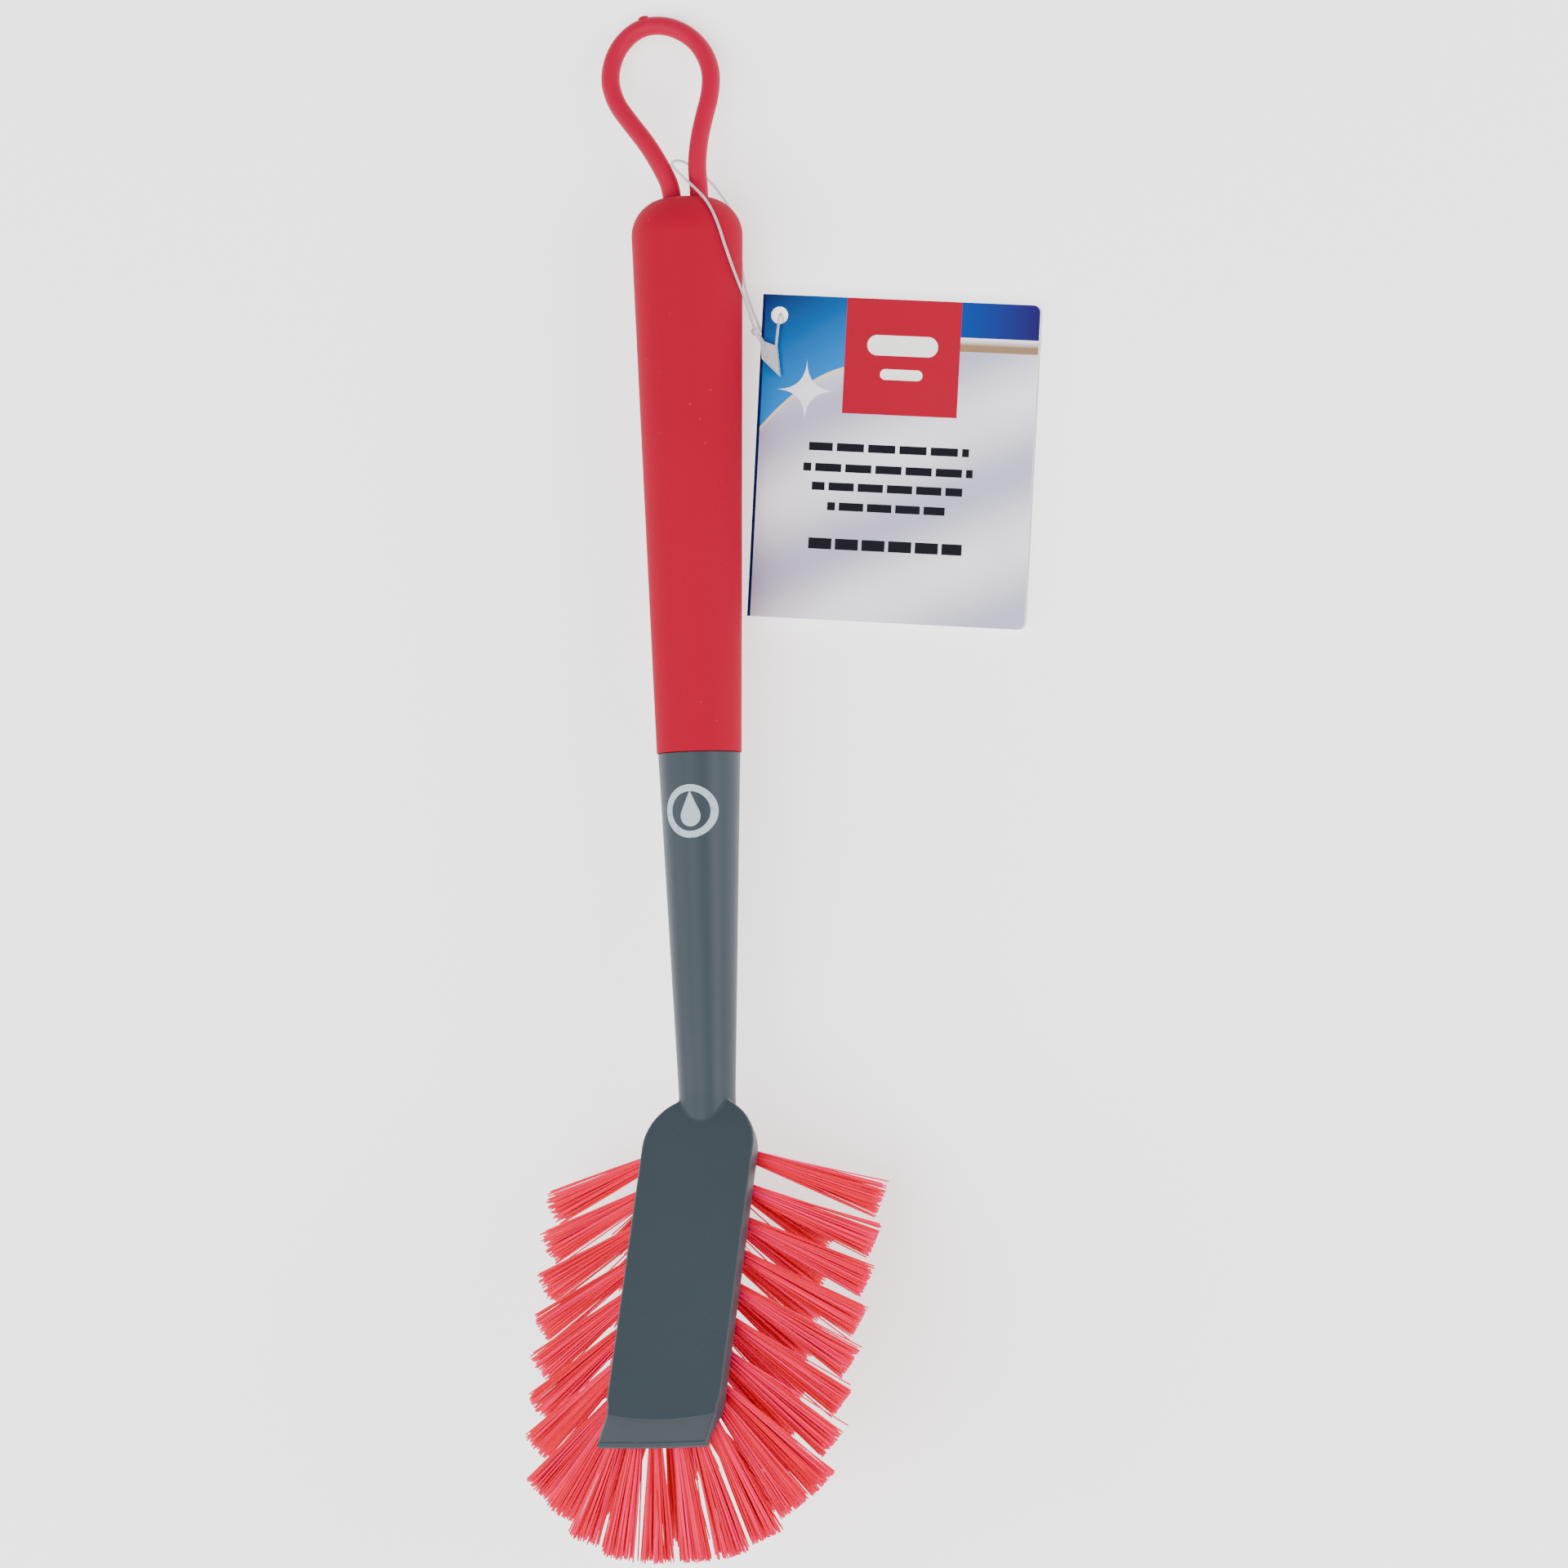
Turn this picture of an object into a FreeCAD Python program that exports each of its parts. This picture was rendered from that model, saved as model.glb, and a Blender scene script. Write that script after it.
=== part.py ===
"""Dishwashing brush: grey head and shank, soft red grip, rubber hanging loop and a swing tag.

Row frame, millimetres: +Z up, the brush lies on its bristles and the end of its grip, as on a table,
with the grip towards +Y, the head towards -Y and its flat back up. The origin is under the middle of
the brush, on the table. Grip, shank and head are drawn along +Y and turned into place at the end.
"""
import FreeCAD, Part
import math
import os
import Sketcher

Vector = FreeCAD.Vector
Rotation = FreeCAD.Rotation
Placement = FreeCAD.Placement

# Driving dimensions in millimetres and degrees. "station" is a distance along the handle's axis from
# the end of the grip, or along the head from its rear end. A tuft's "lean" is measured from straight
# down, its "sweep" from straight sideways towards the tip, and "mouth_slope" says where on the round
# underside edge the outer tufts come out.
SIZES = {
    # grip
    "grip_end_radius": 11.65,
    "grip_front_radius": 8.8,
    "grip_length": 115.7,
    "dome_flat_radius": 4.2,
    "dome_flat_station": 0.35,
    "dome_crown_radius": 25.0,
    "dome_side_radius": 11.55,
    "dome_station": 8.2,
    "dome_corner_radius": 8.0,
    "bore_radius": 6.35,
    "bore_end_station": 21.0,
    "anchor_room_radius": 5.6,
    "anchor_room_station": 3.9,
    # shank and its core inside the grip
    "shoulder_station": 115.85,
    "shank_rear_radius": 8.52,
    "neck_radius": 5.9,
    "neck_station": 186.0,
    "neck_end_station": 199.0,
    "core_end_station": 22.0,
    "core_radius": 4.9,
    "ring_radius": 6.3,
    "ring_width": 5.0,
    "ring_gap": 14.0,
    # head
    "bend_angle": 30.4,
    "bend_station": 187.9,
    "neck_drop": 3.1,
    "neck_fillet": 1.1,
    "neck_blend_depth": 0.3,
    "neck_blend_reach": 7.5,
    "head_half_width": 11.9,
    "head_length": 78.5,
    "head_thickness": 8.6,
    "side_wall": 3.4,
    "nose_corner_radius": 8.5,
    "nose_side_station": 70.0,
    "nose_half_flat": 3.4,
    # scraper blade at the tip: a dished ramp that climbs away from the flat back
    "blade_root_station": 60.0,
    "blade_length": 83.5,
    "blade_half_width": 11.5,
    "blade_thickness": 1.7,
    "blade_block": 5.5,
    "dish_station": 28.0,
    "dish_radius": 48.0,
    "dish_reach": 60.0,
    "dish_rise": 5.04,
    "dish_ceiling": 9.0,
    "undercut_radius": 51.0,
    "undercut_height": 0.44,
    "undercut_rise": 3.34,
    "undercut_depth": 12.0,
    "tip_underside": 2.0,
    "rim_radius": 0.6,
    # tufts
    "hole_radius": 1.35,
    "hole_depth": 5.0,
    "hole_runout": 2.5,
    "first_row_station": 11.5,
    "row_pitch": 7.8,
    "inner_hole_offset": 5.2,
    "nose_pitch": 4.1,
    "nose_centre_station": 73.0,
    "mouth_slope": 52.0,
    "side_lean": 64.0,
    "side_lean_step": 4.0,
    "inner_lean": 42.0,
    "centre_lean": 1.0,
    "nose_centre_lean": 37.0,
    "first_sweep": 9.5,
    "row_sweep_step": 4.1,
    "inner_sweep": 5.0,
    "nose_sweep_step": 11.6,
    "tuft_root_radius": 1.05,
    "tuft_tip_radius": 2.6,
    "side_tuft_length": 27.5,
    "inner_tuft_length": 26.0,
    "nose_tuft_length": 25.0,
    "staple_thickness": 0.5,
    "staple_width": 3.3,
    "staple_height": 1.4,
    "staple_gap": 0.1,
    # hanging loop
    "loop_radius": 1.95,
    "leg_offset": 2.85,
    "leg_hole_radius": 2.1,
    "leg_hole_depth": 4.6,
    "anchor_radius": 5.4,
    "anchor_station": 4.0,
    "anchor_length": 7.0,
    "anchor_chamfer": 1.0,
    "flex_line": 152.5,
    "flex_gap": 2.2,
    # tag and its tie
    "tie_radius": 0.28,
    "tag_width": 59.0,
    "tag_height": 67.0,
    "card_thickness": 0.4,
    "fold_radius": 0.55,
    "fold_inner_radius": 0.15,
    "folded_thickness": 1.1,
    "inner_top": 0.7,
    "leaf_spread_top": 2.5,
    "leaf_spread_bottom": 2.1,
    "tag_hole_radius": 1.8,
    "tag_hole_x": 3.8,
    "tag_hole_y": 4.3,
    "tag_corner_radius": 1.5,
    "lock_thickness": 1.0,
    "knob_radius": 0.95,
}
RINGS = 6
ROW_COUNT = 8
NOSE_TUFTS_PER_SIDE = 4

# The loop's centre line, from the plug out of one leg hole, round and back into the other.
LOOP_ROUTE = [
    (-2.85, 137.0, 11.31),
    (-2.85, 142.2, 11.01),
    (-5.0, 147.0, 10.7),
    (-8.1, 152.2, 10.0),
    (-12.2, 157.2, 8.5),
    (-15.8, 161.8, 6.8),
    (-17.5, 167.4, 4.9),
    (-15.9, 173.6, 2.9),
    (-11.0, 177.7, 2.2),
    (-4.6, 177.6, 2.2),
    (1.3, 174.0, 2.8),
    (4.7, 168.2, 4.7),
    (4.9, 162.5, 6.6),
    (3.7, 157.3, 8.4),
    (2.8, 152.2, 9.9),
    (2.4, 147.0, 10.7),
    (2.85, 141.9, 11.03),
    (2.85, 137.0, 11.31),
]
# The tie's centre line, from the lock's knob over the end of the grip, round one leg of the loop, back
# under the grip and the tag, up through the tag's hole and to the lock's corner.
TIE_ROUTE = [
    (12.2, 113.3, 5.9),
    (11.9, 118.5, 10.6),
    (11.2, 124.5, 16.5),
    (10.1, 129.5, 18.6),
    (8.9, 134.7, 19.6),
    (6.7, 139.1, 18.5),
    (3.6, 142.0, 15.7),
    (0.8, 144.2, 13.1),
    (-1.8, 146.6, 12.2),
    (-3.1, 148.2, 11.0),
    (-2.2, 148.9, 9.0),
    (-0.3, 148.2, 7.5),
    (2.4, 145.9, 6.0),
    (5.2, 142.3, 4.3),
    (7.8, 137.6, 3.0),
    (8.5, 132.2, 2.4),
    (9.2, 126.4, 2.8),
    (9.9, 120.8, 3.1),
    (11.6, 115.5, 2.4),
    (12.9, 111.8, 1.8),
    (14.9, 110.8, 1.2),
    (16.9, 112.7, 1.1),
    (17.3, 115.6, 1.4),
    (17.6, 116.4, 5.0),
    (17.3, 113.4, 6.0),
    (16.5, 108.9, 5.4),
]
TAG_CORNER = Vector(13.8, 120.4, 3.2)
TAG_YAW = -5.3
TAG_TILT = 3.0
LOCK_PLACE = Vector(12.3, 112.6, 4.85)
# The lock's flat outline from its knob: a short neck and a kite-shaped head.
LOCK_OUTLINE = [(0.35, 0.15), (1.7, -2.1), (4.5, -3.3), (4.9, -9.6), (1.2, -5.8), (1.0, -2.5), (-0.35, -0.2)]

# Lying on the table: the handle climbs towards the head by REST_TILT degrees, and REST_POINT is where
# the end of the grip's dome comes to.
REST_TILT = 3.16
REST_POINT = Vector(0, 141.0, 11.08)

doc = FreeCAD.newDocument("dishwashing_brush")


def make_sheet():
    sheet = doc.addObject("Spreadsheet::Sheet", "sizes")
    for row, (alias, value) in enumerate(SIZES.items(), start=1):
        sheet.set("A%d" % row, alias)
        sheet.set("B%d" % row, str(value))
        sheet.setAlias("B%d" % row, alias)
    doc.recompute()
    return sheet


sheet = make_sheet()


def size(alias):
    """The value of one cell, as a number."""
    return float(sheet.get(alias))


def bind(item, **sizes):
    """Bind an object's properties to formulas on the sheet's cells."""
    for name, formula in sizes.items():
        item.setExpression(name, formula)


def new_body(name):
    body = doc.addObject("PartDesign::Body", name)
    body.Label = name
    return body


def sketch_on(body, name, role, offset=None):
    sketch = body.newObject("Sketcher::SketchObject", name)
    plane = [item for item in body.Origin.OriginFeatures if item.Role == role][0]
    sketch.AttachmentSupport = [(plane, "")]
    sketch.MapMode = "FlatFace"
    if offset:
        sketch.AttachmentOffset = offset
    return sketch


def number(alias):
    """A sketch coordinate from its name: a cell, a cell with a minus sign, or nothing for zero."""
    if not alias:
        return 0.0
    return -size(alias[1:]) if alias[0] == "-" else size(alias)


def formula(alias):
    return "-sizes." + alias[1:] if alias[0] == "-" else "sizes." + alias


def hold_point(sketch, edge, end, corner):
    """Fix one end of an edge at a corner given by two cell names."""
    for kind, axis, alias in (("DistanceX", -2, corner[0]), ("DistanceY", -1, corner[1])):
        if not alias:
            sketch.addConstraint(Sketcher.Constraint("PointOnObject", edge, end, axis))
            continue
        held = sketch.addConstraint(Sketcher.Constraint(kind, -1, 1, edge, end, number(alias)))
        sketch.setExpression("Constraints[%d]" % held, formula(alias))


def arc_between(start, end, radius):
    """The short arc from start to end, anticlockwise for a positive radius, and whether it runs so."""
    middle = (start + end) * 0.5
    half = (end - start).Length / 2
    across = Vector(start.y - end.y, end.x - start.x, 0).normalize()
    rise = math.sqrt(max(0, radius * radius - half * half))
    centre = middle + across * math.copysign(rise, radius)
    first, last = (start, end) if radius > 0 else (end, start)
    circle = Part.Circle(centre, Vector(0, 0, 1), abs(radius))
    angles = [math.atan2(point.y - centre.y, point.x - centre.x) for point in (first, last)]
    return Part.ArcOfCircle(circle, angles[0], angles[1])


def outline(sketch, corners, arcs=None):
    """A closed outline through named corners. arcs gives the edges that are round: edge number to
    the name of its radius, with a minus sign where the edge runs clockwise."""
    arcs = arcs or {}
    points = [Vector(number(x), number(y), 0) for x, y in corners]
    starts = []
    for edge, point in enumerate(points):
        following = points[(edge + 1) % len(points)]
        if edge in arcs:
            shape = arc_between(point, following, number(arcs[edge]))
            starts.append(1 if number(arcs[edge]) > 0 else 2)
        else:
            shape = Part.LineSegment(point, following)
            starts.append(1)
        sketch.addGeometry(shape, False)
    for edge, start in enumerate(starts):
        following = (edge + 1) % len(starts)
        joint = Sketcher.Constraint("Coincident", edge, 3 - start, following, starts[following])
        sketch.addConstraint(joint)
    for edge, start in enumerate(starts):
        hold_point(sketch, edge, start, corners[edge])
        if edge in arcs:
            radius = sketch.addConstraint(Sketcher.Constraint("Radius", edge, abs(number(arcs[edge]))))
            sketch.setExpression("Constraints[%d]" % radius, formula(arcs[edge].lstrip("-")))


def circle(sketch, x, y, radius):
    """A circle whose centre and radius are named cells."""
    shape = Part.Circle(Vector(number(x), number(y), 0), Vector(0, 0, 1), size(radius))
    edge = sketch.addGeometry(shape, False)
    hold_point(sketch, edge, 3, (x, y))
    held = sketch.addConstraint(Sketcher.Constraint("Radius", edge, size(radius)))
    sketch.setExpression("Constraints[%d]" % held, "sizes." + radius)


def turned(body, kind, name, sketch, axis="V_Axis"):
    """A Revolution or Groove of a sketch about one of its own axes."""
    feature = body.newObject("PartDesign::" + kind, name)
    feature.Profile = sketch
    feature.ReferenceAxis = (sketch, [axis])
    feature.Angle = 360
    body.Tip = feature
    return feature


def make_grip():
    """The soft sleeve: a straight taper with a domed end, bored for the core, the anchor and the legs."""
    body = new_body("grip_sleeve")
    skin = sketch_on(body, "grip_skin", "YZ_Plane")
    corners = [
        ("", ""),
        ("dome_flat_station", "dome_flat_radius"),
        ("dome_station", "dome_side_radius"),
        ("grip_length", "grip_front_radius"),
        ("grip_length", ""),
    ]
    outline(skin, corners, {0: "-dome_crown_radius", 1: "-dome_corner_radius"})
    turned(body, "Revolution", "grip_solid", skin, "H_Axis")
    bore = sketch_on(body, "grip_bore", "YZ_Plane")
    corners = [
        ("anchor_room_station", ""),
        ("anchor_room_station", "anchor_room_radius"),
        ("bore_end_station", "anchor_room_radius"),
        ("bore_end_station", "bore_radius"),
        ("grip_length", "bore_radius"),
        ("grip_length", ""),
    ]
    outline(bore, corners)
    turned(body, "Groove", "grip_bore_cut", bore, "H_Axis")
    legs = sketch_on(body, "leg_holes", "XZ_Plane")
    circle(legs, "leg_offset", "", "leg_hole_radius")
    circle(legs, "-leg_offset", "", "leg_hole_radius")
    cut = body.newObject("PartDesign::Pocket", "leg_hole_cut")
    cut.Profile = legs
    cut.Midplane = True
    bind(cut, Length="2 * sizes.leg_hole_depth")
    body.Tip = cut
    return body


def make_anchor():
    """The loop's moulded end, a chamfered plug in the end of the grip."""
    body = new_body("loop_anchor")
    disc = sketch_on(body, "anchor_outline", "XZ_Plane")
    circle(disc, "", "", "anchor_radius")
    plug = body.newObject("PartDesign::Pad", "anchor_plug")
    plug.Profile = disc
    plug.Reversed = True
    bind(plug, Length="sizes.anchor_length")
    doc.recompute()
    chamfer = body.newObject("PartDesign::Chamfer", "anchor_chamfers")
    rims = [i for i, edge in enumerate(plug.Shape.Edges, 1) if isinstance(edge.Curve, Part.Circle)]
    chamfer.Base = (plug, ["Edge%d" % i for i in rims])
    bind(chamfer, Size="sizes.anchor_chamfer")
    body.Tip = chamfer
    return body


def make_shank():
    """The tapering shank, and the core inside the grip with its raised rings."""
    body = new_body("shank")
    skin = sketch_on(body, "shank_skin", "XY_Plane")
    corners = [
        ("", "core_end_station"),
        ("core_radius", "core_end_station"),
        ("core_radius", "shoulder_station"),
        ("shank_rear_radius", "shoulder_station"),
        ("neck_radius", "neck_station"),
        ("neck_radius", "neck_end_station"),
        ("", "neck_end_station"),
    ]
    outline(skin, corners)
    turned(body, "Revolution", "shank_solid", skin)
    ring = sketch_on(body, "ring_outline", "XZ_Plane")
    circle(ring, "", "", "ring_radius")
    bind(ring, **{"AttachmentOffset.Base.z": "-(sizes.core_end_station + sizes.ring_gap / 2)"})
    pad = body.newObject("PartDesign::Pad", "ring_pad")
    pad.Profile = ring
    pad.Reversed = True
    bind(pad, Length="sizes.ring_width")
    rings = body.newObject("PartDesign::LinearPattern", "rings")
    rings.Originals = [pad]
    rings.Direction = (ring, ["N_Axis"])
    rings.Reversed = True
    rings.Occurrences = RINGS
    bind(rings, Length="sizes.ring_gap * %d" % (RINGS - 1))
    body.Tip = rings
    return body


def plate(body, name, corners, arcs, top, bottom):
    """A flat-sided block between two heights over the head's back plane."""
    shape = sketch_on(body, name + "_outline", "XY_Plane")
    outline(shape, corners, arcs)
    bind(shape, **{"AttachmentOffset.Base.z": "-" + bottom})
    pad = body.newObject("PartDesign::Pad", name)
    pad.Profile = shape
    bind(pad, Length="%s + %s" % (top, bottom))
    body.Tip = pad
    return pad


def back_rim(shape):
    """Numbers of the edges round the outside of the head's back, with the ramp's sides and the tip."""
    near = 0.1
    rim = []
    for i, edge in enumerate(shape.Edges, 1):
        box = edge.BoundBox
        middle = edge.valueAt((edge.FirstParameter + edge.LastParameter) / 2)
        at_side = abs(middle.x) > size("blade_half_width") - near
        at_rear = middle.y < size("head_half_width") + near
        at_tip = box.YMin > size("blade_length") - near
        floor = size("tip_underside") if at_tip else -near
        if (at_side or at_rear or at_tip) and box.ZMin > floor:
            rim.append(i)
    return rim


def make_head():
    """The head: a thick plate with a round-edged underside, and the thin blade that overhangs its nose."""
    body = new_body("head")
    corners = [
        ("head_half_width", "head_half_width"),
        ("head_half_width", "nose_side_station"),
        ("nose_half_flat", "head_length"),
        ("-nose_half_flat", "head_length"),
        ("-head_half_width", "nose_side_station"),
        ("-head_half_width", "head_half_width"),
        ("", ""),
    ]
    arcs = {
        1: "nose_corner_radius",
        3: "nose_corner_radius",
        5: "head_half_width",
        6: "head_half_width",
    }
    block = plate(body, "head_block", corners, arcs, "sizes.blade_block", "sizes.head_thickness")
    doc.recompute()
    low = -size("head_thickness") + 0.01
    rims = [i for i, edge in enumerate(block.Shape.Edges, 1) if edge.BoundBox.ZMax < low]
    belly = body.newObject("PartDesign::Fillet", "round_underside")
    belly.Base = (block, ["Edge%d" % i for i in rims])
    bind(belly, Radius="sizes.head_thickness - sizes.side_wall")
    body.Tip = belly
    corners = [
        ("blade_half_width", "blade_root_station"),
        ("blade_half_width", "blade_length"),
        ("-blade_half_width", "blade_length"),
        ("-blade_half_width", "blade_root_station"),
    ]
    plate(body, "blade", corners, None, "sizes.blade_block", "sizes.blade_thickness")
    dish = sketch_on(body, "back_face", "YZ_Plane")
    bind(dish, **{"AttachmentOffset.Base.x": "sizes.dish_station"})
    corners = [
        ("", ""),
        ("dish_radius", ""),
        ("dish_reach", "dish_rise"),
        ("dish_reach", "dish_ceiling"),
        ("", "dish_ceiling"),
    ]
    outline(dish, corners)
    turned(body, "Groove", "back_face_cut", dish)
    under = sketch_on(body, "blade_underside", "YZ_Plane")
    bind(under, **{"AttachmentOffset.Base.x": "sizes.dish_station"})
    corners = [
        ("undercut_radius", "-undercut_depth"),
        ("dish_reach", "-undercut_depth"),
        ("dish_reach", "undercut_rise"),
        ("undercut_radius", "-undercut_height"),
    ]
    outline(under, corners)
    turned(body, "Groove", "blade_underside_cut", under)
    doc.recompute()
    sharp = body.Tip
    rim = body.newObject("PartDesign::Fillet", "round_back_rim")
    rim.Base = (sharp, ["Edge%d" % i for i in back_rim(sharp.Shape)])
    bind(rim, Radius="sizes.rim_radius")
    body.Tip = rim
    return body


def head_place():
    """The head's own frame in the handle's frame: X across, Y to the tip, Z out of the flat back."""
    bend = Rotation(Vector(1, 0, 0), size("bend_angle"))
    rear = Vector(0, size("bend_station"), 0) + bend.multVec(Vector(0, 0, size("neck_drop")))
    return Placement(rear, bend)


def rest_place():
    """The handle's frame as it lies on the table."""
    climb = Placement(Vector(), Rotation(Vector(1, 0, 0), REST_TILT))
    return Placement(REST_POINT, Rotation(Vector(0, 0, 1), 180)).multiply(climb)


class Tuft:
    """One tuft's hole: its mouth on the head's underside, its direction and its free length."""

    def __init__(self, x, station, depth, lean, sweep, length, flat_side):
        side = -1 if x < 0 else 1
        lean, sweep = math.radians(lean), math.radians(sweep)
        self.mouth = Vector(x, station, -depth)
        self.way = Vector(
            side * math.sin(lean) * math.cos(sweep),
            math.sin(lean) * math.sin(sweep),
            -math.cos(lean),
        )
        tangent = Vector(0, 0, 1).cross(self.way).normalize()
        radial = tangent.cross(self.way)
        axes = (tangent, radial * -1) if flat_side else (radial, tangent)
        self.turn = Rotation(axes[0], axes[1], self.way, "ZXY")
        self.length = length

    def place(self, along):
        """The tuft's frame, with Z outwards, at a distance along it from the mouth."""
        return head_place().multiply(Placement(self.mouth + self.way * along, self.turn))


def sweep_of_row(row):
    """How far the tufts of a row point towards the tip, degrees. It grows along the head."""
    return size("first_sweep") + size("row_sweep_step") * row


def edge_mouth():
    """How far in from the head's side, and how deep, the mouths on the round underside edge are."""
    round_radius = size("head_thickness") - size("side_wall")
    slope = math.radians(size("mouth_slope"))
    inset = round_radius * (1 - math.sin(slope))
    return inset, size("side_wall") + round_radius * math.cos(slope)


def row_tufts(row):
    """Two side tufts with one between them, and two inner ones half a pitch further on."""
    inset, side_depth = edge_mouth()
    depth = size("head_thickness")
    edge = size("head_half_width") - inset
    station = size("first_row_station") + size("row_pitch") * row
    sweep = sweep_of_row(row)
    tufts = [
        Tuft(side * edge, station, side_depth, size("side_lean"), sweep, "side_tuft_length", False)
        for side in (-1, 1)
    ]
    tufts.append(Tuft(0, station, depth, size("centre_lean") + row, 90, "inner_tuft_length", True))
    station += size("row_pitch") / 2
    sweep += size("inner_sweep")
    inner = size("inner_hole_offset")
    tufts += [
        Tuft(side * inner, station, depth, size("inner_lean"), sweep, "inner_tuft_length", True)
        for side in (-1, 1)
    ]
    return tufts


def nose_tufts():
    """The fan round the nose, four tufts each side, and one inside it on the middle line."""
    inset, depth = edge_mouth()
    bend = size("nose_corner_radius") - inset
    last_row = ROW_COUNT - 1
    straight = size("nose_side_station") - size("first_row_station") - size("row_pitch") * last_row
    corner = bend * math.pi / 2
    tufts = []
    for step in range(1, NOSE_TUFTS_PER_SIDE + 1):
        travel = size("nose_pitch") * step - straight
        angle = min(travel, corner) / bend
        x = size("nose_half_flat") + bend * math.cos(angle) - max(0, travel - corner)
        station = size("nose_side_station") + bend * math.sin(angle)
        lean = size("side_lean") - size("side_lean_step") * step
        sweep = sweep_of_row(last_row) + size("nose_sweep_step") * step
        for side in (-1, 1):
            tufts.append(Tuft(side * x, station, depth, lean, sweep, "nose_tuft_length", False))
    station = size("nose_centre_station")
    lean = size("nose_centre_lean")
    tufts.append(Tuft(0, station, size("head_thickness"), lean, 90, "inner_tuft_length", False))
    return tufts


def all_groups():
    """Every group of tufts with the name its nodes end in."""
    groups = {"%02d" % (row + 1): row_tufts(row) for row in range(ROW_COUNT)}
    groups["nose"] = nose_tufts()
    return groups


def compound(name, pieces):
    group = doc.addObject("Part::Compound", name)
    group.Label = name
    group.Links = pieces
    return group


def make_holes(groups):
    holes = []
    for tufts in groups.values():
        for tuft in tufts:
            hole = doc.addObject("Part::Cylinder", "hole")
            bind(hole, Radius="sizes.hole_radius", Height="sizes.hole_depth + sizes.hole_runout")
            hole.Placement = tuft.place(-size("hole_depth"))
            holes.append(hole)
    return compound("tuft_holes", holes)


def make_tufts(name, tufts):
    """Each tuft as one flared solid, from just above its staple to its trimmed tip."""
    cones = []
    sunk = size("hole_depth") - size("staple_height") - size("staple_gap")
    for tuft in tufts:
        cone = doc.addObject("Part::Cone", "tuft")
        bind(
            cone,
            Radius1="sizes.tuft_root_radius",
            Radius2="sizes.tuft_tip_radius",
            Height="sizes.%s + sizes.hole_depth - sizes.staple_height - sizes.staple_gap" % tuft.length,
        )
        cone.Placement = rest_place().multiply(tuft.place(-sunk))
        cones.append(cone)
    return compound("tufts_" + name, cones)


def make_staples(name, tufts):
    """The flat wire staples that hold the folded filaments, their ends driven into the holes' walls."""
    wires = []
    for tuft in tufts:
        wire = doc.addObject("Part::Box", "staple")
        bind(
            wire,
            Length="sizes.staple_width",
            Width="sizes.staple_thickness",
            Height="sizes.staple_height",
        )
        corner = Vector(-size("staple_width") / 2, -size("staple_thickness") / 2, 0)
        place = rest_place().multiply(tuft.place(-size("hole_depth")))
        wire.Placement = place.multiply(Placement(corner, Rotation()))
        wires.append(wire)
    return compound("staples_" + name, wires)


def neck_edges(shape):
    """Numbers of the edges where the neck runs into the head's flat back and rim."""
    to_head = head_place().inverse()
    radius = size("neck_radius")
    found = []
    for i, edge in enumerate(shape.Edges, 1):
        middle = to_head.multVec(edge.valueAt((edge.FirstParameter + edge.LastParameter) / 2))
        above = -size("neck_blend_depth") < middle.z < 0.1
        if above and abs(middle.x) < radius and 0 < middle.y < size("neck_blend_reach"):
            found.append(i)
    return found


def make_brush_body(groups):
    """Shank and head in one moulding, bored for the tufts."""
    shank, head = make_shank(), make_head()
    trim = doc.addObject("Part::Box", "neck_trim")
    bind(
        trim,
        Length="4 * sizes.head_half_width",
        Width="sizes.head_length",
        Height="sizes.undercut_depth",
    )
    low_corner = Vector(-2 * size("head_half_width"), -size("head_half_width"),
                        -size("head_thickness") - size("undercut_depth"))
    trim.Placement = head_place().multiply(Placement(low_corner, Rotation()))
    neck = doc.addObject("Part::Cut", "trimmed_shank")
    neck.Base = shank
    neck.Tool = trim
    head.Placement = head_place()
    whole = doc.addObject("Part::Fuse", "shank_and_head")
    whole.Base = neck
    whole.Tool = head
    doc.recompute()
    blended = doc.addObject("Part::Fillet", "neck_blend")
    blended.Base = whole
    blended.Edges = [(i, size("neck_fillet"), size("neck_fillet")) for i in neck_edges(whole.Shape)]
    bored = doc.addObject("Part::Cut", "brush_body")
    bored.Label = "brush_body"
    bored.Base = blended
    bored.Tool = make_holes(groups)
    return bored


def route_edges(points):
    """Straight runs joined by tangent arcs, each arc as large as its two runs allow."""
    edges, radii = [], []
    start = points[0]
    for before, corner, after in zip(points, points[1:], points[2:]):
        run_in, run_out = corner - before, after - corner
        turn = run_in.getAngle(run_out)
        cut = 0.45 * min(run_in.Length, run_out.Length)
        way_in, way_out = run_in.normalize(), run_out.normalize()
        first, last = corner - way_in * cut, corner + way_out * cut
        radius = cut / math.tan(turn / 2)
        inwards = (way_out - way_in).normalize()
        middle = corner + inwards * (radius / math.cos(turn / 2) - radius)
        edges.append(Part.LineSegment(start, first).toShape())
        edges.append(Part.Arc(first, middle, last).toShape())
        radii.append(radius)
        start = last
    edges.append(Part.LineSegment(start, points[-1]).toShape())
    return edges, radii


def tube(name, route, radius):
    """A round tube along a route, with its volume tested against its section and length."""
    edges, radii = route_edges([Vector(*point) for point in route])
    path = Part.Wire(edges)
    way = edges[0].tangentAt(edges[0].FirstParameter)
    section = Part.Wire(Part.Circle(Vector(*route[0]), way, radius).toShape())
    solid = path.makePipeShell([section], True, False)
    expected = math.pi * radius * radius * path.Length
    if abs(solid.Volume - expected) > 0.01 * expected:
        raise RuntimeError("%s: volume %.2f, expected %.2f" % (name, solid.Volume, expected))
    turns = " ".join("%.1f" % value for value in radii)
    print("%s: length %.1f mm, bend radii %s" % (name, path.Length, turns))
    return solid


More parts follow.
